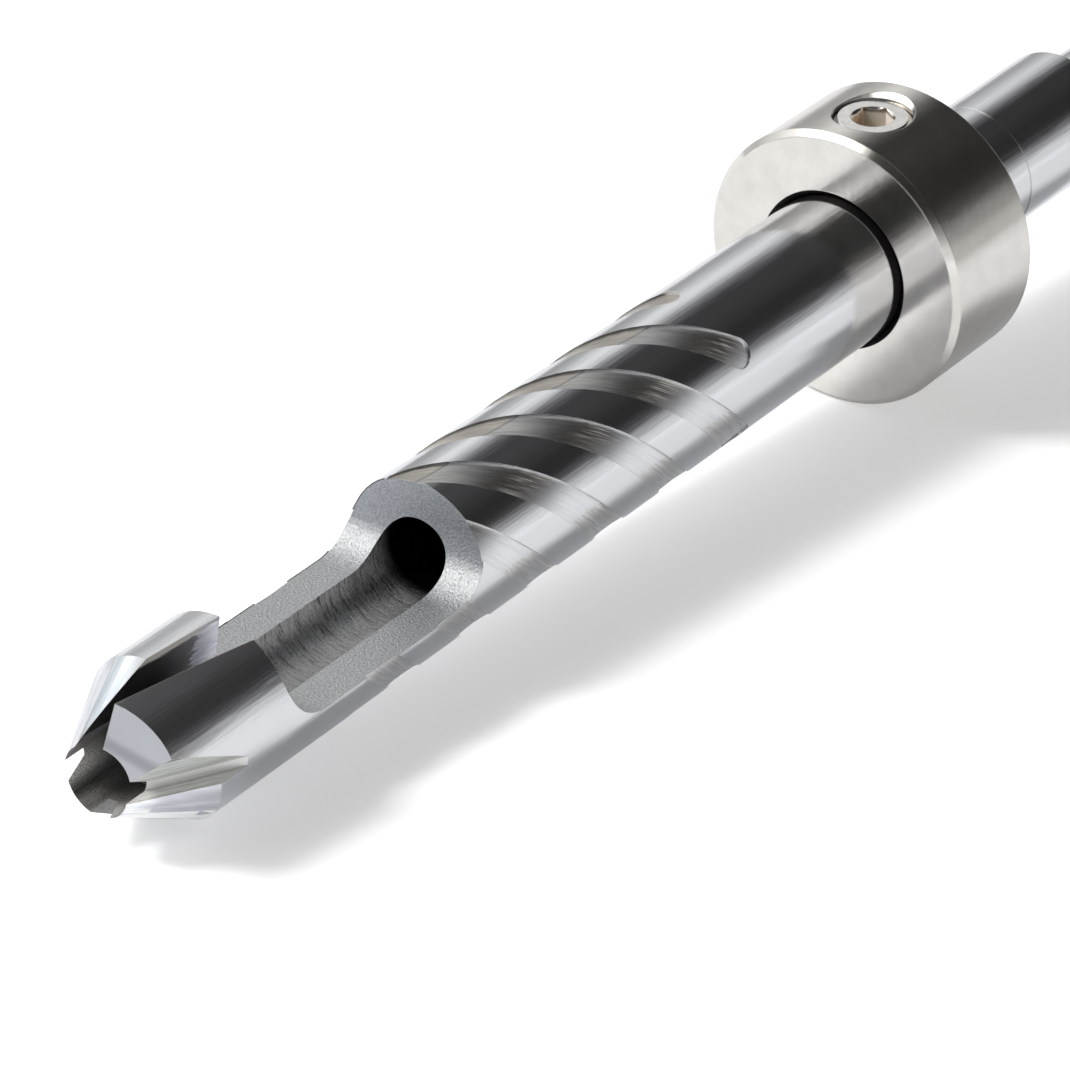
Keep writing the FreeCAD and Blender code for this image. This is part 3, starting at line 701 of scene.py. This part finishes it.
def cutter_normal(s, faces, glints_tilted_and_painted, wall_end, wall_top):
    """Round ground faces, hollow grooves, and edges that are rolled over a little."""
    g = s.g
    trough = g.mul(g.step(s.angle, -0.5, -1.2), g.inside(s.x, WINDOW_START, TROUGH_END_X))
    place = g.vector(g.mul(s.x, 0.03), g.mul(s.angle, 7.8), 5.0)
    honed = g.sub(g.noise(place, scale=4.5, detail=3.0, rough=0.65), 0.5)
    honed = g.mul(honed, g.blend(faces.head, 0.15, 0.26))
    normal = s.smooth_normal(g.mul(trough, 0.22), honed)

    hollow_along, hollow_around = GROOVE_HOLLOW
    tilt_along, tilt_around = GLINT_TILT
    # The glint streaks tilt the groove's normal here; their yellow-white colour is painted in
    # groove_finish
    hollow = s.leaning(
        g.sub(g.mul(faces.across, hollow_along), g.mul(glints_tilted_and_painted, tilt_along)), 1.0,
        g.add(g.mul(faces.across, hollow_around), g.mul(glints_tilted_and_painted, tilt_around)))
    normal = g.pick(faces.groove, normal, hollow)

    curved_end = g.mul(faces.gullet, wall_end)
    normal = g.pick(curved_end, normal, tool_to_row(g, -0.30, -0.90, 0.26))
    rolled_top = g.mul(faces.gullet, wall_top, 0.9)
    normal = g.pick(rolled_top, normal, tool_to_row(g, -0.25, -0.85, 0.46))
    edge, rounded = s.edges(CUTTER_EDGE)
    normal = g.pick(edge, normal, rounded)
    rolled_lip = g.unit(g.vector_math("ADD", s.own, s.leaning(0.0, 1.0, 0.0)))
    return g.pick(faces.lip, normal, rolled_lip), edge


def cutter_material():
    """Ground and milled steel. The finish changes from face to face, as each was cut."""
    material, g = new_material("ground_steel")
    s = Surface(g)
    faces = CutterFaces(s)
    glints_tilted_and_painted, painted_dark_streaks = groove_streaks(s, faces)
    wall_lines, wall_end, wall_top = gullet_marks(s)
    cloud = g.noise(s.place, scale=0.25, detail=3.0, rough=0.55)
    grain = g.noise(s.place, scale=4.2, detail=3.0, rough=0.66)

    # The ground skin of the barrel and the shank, speckled on the head
    rings = g.noise(g.vector(s.x, g.mul(s.angle, 0.6), 0.0), scale=5.0, detail=3.0, rough=0.6)
    speck = g.noise(s.place, scale=7.0, detail=2.0, rough=0.6)
    colour = g.mix(cloud, *SKIN)
    rough = g.blend(
        g.mul(faces.head, s.outward), g.blend(rings, 0.10, 0.17), g.blend(speck, 0.16, 0.28))
    height = g.add(
        g.mul(g.sub(rings, 0.5), 0.05), g.mul(speck, g.blend(faces.head, 0.015, 0.10)))

    for finish in (
            groove_finish(s, faces, glints_tilted_and_painted, painted_dark_streaks),
            window_finish(s, faces, grain),
            ground_finish(s, faces),
            notch_finish(s, faces),
            raker_finish(s, faces, cloud),
            gullet_finish(s, faces, wall_lines, wall_end, wall_top),
            bore_finish(s, faces, grain)):
        colour = g.mix(finish.where, colour, finish.colour)
        if finish.rough is not None:
            rough = g.blend(finish.where, rough, finish.rough)
        if finish.height is not None:
            height = g.blend(finish.where, height, finish.height)

    normal, edge = cutter_normal(s, faces, glints_tilted_and_painted, wall_end, wall_top)
    colour = g.mix(g.mul(edge, faces.head, 0.7), colour, EDGE_BROWN)
    dull = g.add(g.mul(faces.notch, 0.7), g.mul(faces.bore, faces.head, 0.85))
    metal = g.sub(g.without(dull), g.mul(faces.notch, faces.notch_wall, 0.28))
    finish_material(g, {
        "Base Color": colour, "Metallic": metal, "Roughness": rough,
        "Normal": g.bump(height, normal, RELIEF),
        "Anisotropic": g.mul(faces.groove, 0.75),
        "Tangent": s.leaning(GROOVE_SINE, 0.0, -GROOVE_COSINE)})
    return material


def collar_material():
    """Satin nickel over turned steel, a little warm, with painted shade on a band of its outside
    and on the chamfer in the bore.
    """
    material, g = new_material("satin_nickel")
    s = Surface(g)
    cloud = g.noise(s.place, scale=0.35, detail=4.0, rough=0.6)
    bore = g.below(s.away, -0.3)
    colour = g.ramp(cloud, NICKEL_STOPS)
    # Painted shade on a band of the outside, by angle
    painted_shade_band = g.mul(s.outward, g.band(s.angle, *NICKEL_PAINTED_SHADE_SPAN), 0.75)
    colour = g.mix(painted_shade_band, colour, g.times(colour, NICKEL_PAINTED_SHADE_TINT))
    # Painted shade: the chamfer in the bore near black
    colour = g.mix(bore, colour, COLLAR_BORE_PAINTED_SHADE)
    rough = g.blend(bore, g.blend(cloud, 0.10, 0.17), 0.5)
    place = g.vector(s.radius, s.x, g.mul(s.angle, 0.5))
    turned = g.noise(place, scale=5.0, detail=3.0, rough=0.6)
    swell = g.noise(s.place, scale=0.9, detail=2.0, rough=0.5)
    height = g.add(g.mul(turned, 0.01), g.mul(swell, 0.30))

    # The chamfers are cones, smooth all round
    chamfer = g.mul(g.inside(g.size(s.nx), *CHAMFER_NX), g.above(s.away, 0.2))
    cone = s.leaning(s.nx, g.math("SQRT", g.without(g.mul(s.nx, s.nx))), 0.0)
    edge, rounded = s.edges(COLLAR_EDGE)
    normal = g.pick(edge, g.pick(chamfer, s.smooth_normal(), cone), rounded)
    finish_material(g, {
        "Base Color": colour, "Metallic": 1.0, "Roughness": rough,
        "Normal": g.bump(height, normal, RELIEF)})
    return material


def screw_material():
    """Bright plating, with a brown, oily socket whose rear facet is painted bright as a highlight.
    """
    material, g = new_material("plated_steel")
    s = Surface(g)
    cloud = g.noise(s.place, scale=0.9, detail=3.0, rough=0.6)
    socket = g.step(s.z, *SOCKET_Z)
    # Painted highlight: the socket's rear facet near white
    lit = g.mul(socket, g.step(s.nx, -0.55, -0.85))
    colour = g.mix(socket, g.ramp(cloud, PLATING_STOPS), g.mix(cloud, *SOCKET_BROWN))
    colour = g.mix(lit, colour, SOCKET_PAINTED_LIGHT)
    metal = g.without(g.add(g.mul(socket, 0.25), g.mul(lit, 0.6)))
    pits = g.noise(s.place, scale=4.0, detail=3.0, rough=0.6)
    edge, rounded = s.edges(SCREW_EDGE)
    finish_material(g, {
        "Base Color": colour, "Metallic": metal, "Roughness": g.blend(cloud, 0.10, 0.20),
        "Normal": g.bump(pits, g.pick(edge, s.own, rounded), FINE_RELIEF)})
    return material


make_camera()
make_world()
make_floor()
make_key_lamp()

for node, material in (
        ("cutter_body", cutter_material()),
        ("stop_collar", collar_material()),
        ("grub_screw", screw_material())):
    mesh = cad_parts[node].data
    mesh.materials.clear()
    mesh.materials.append(material)

bpy.context.scene.view_settings.view_transform = "Standard"
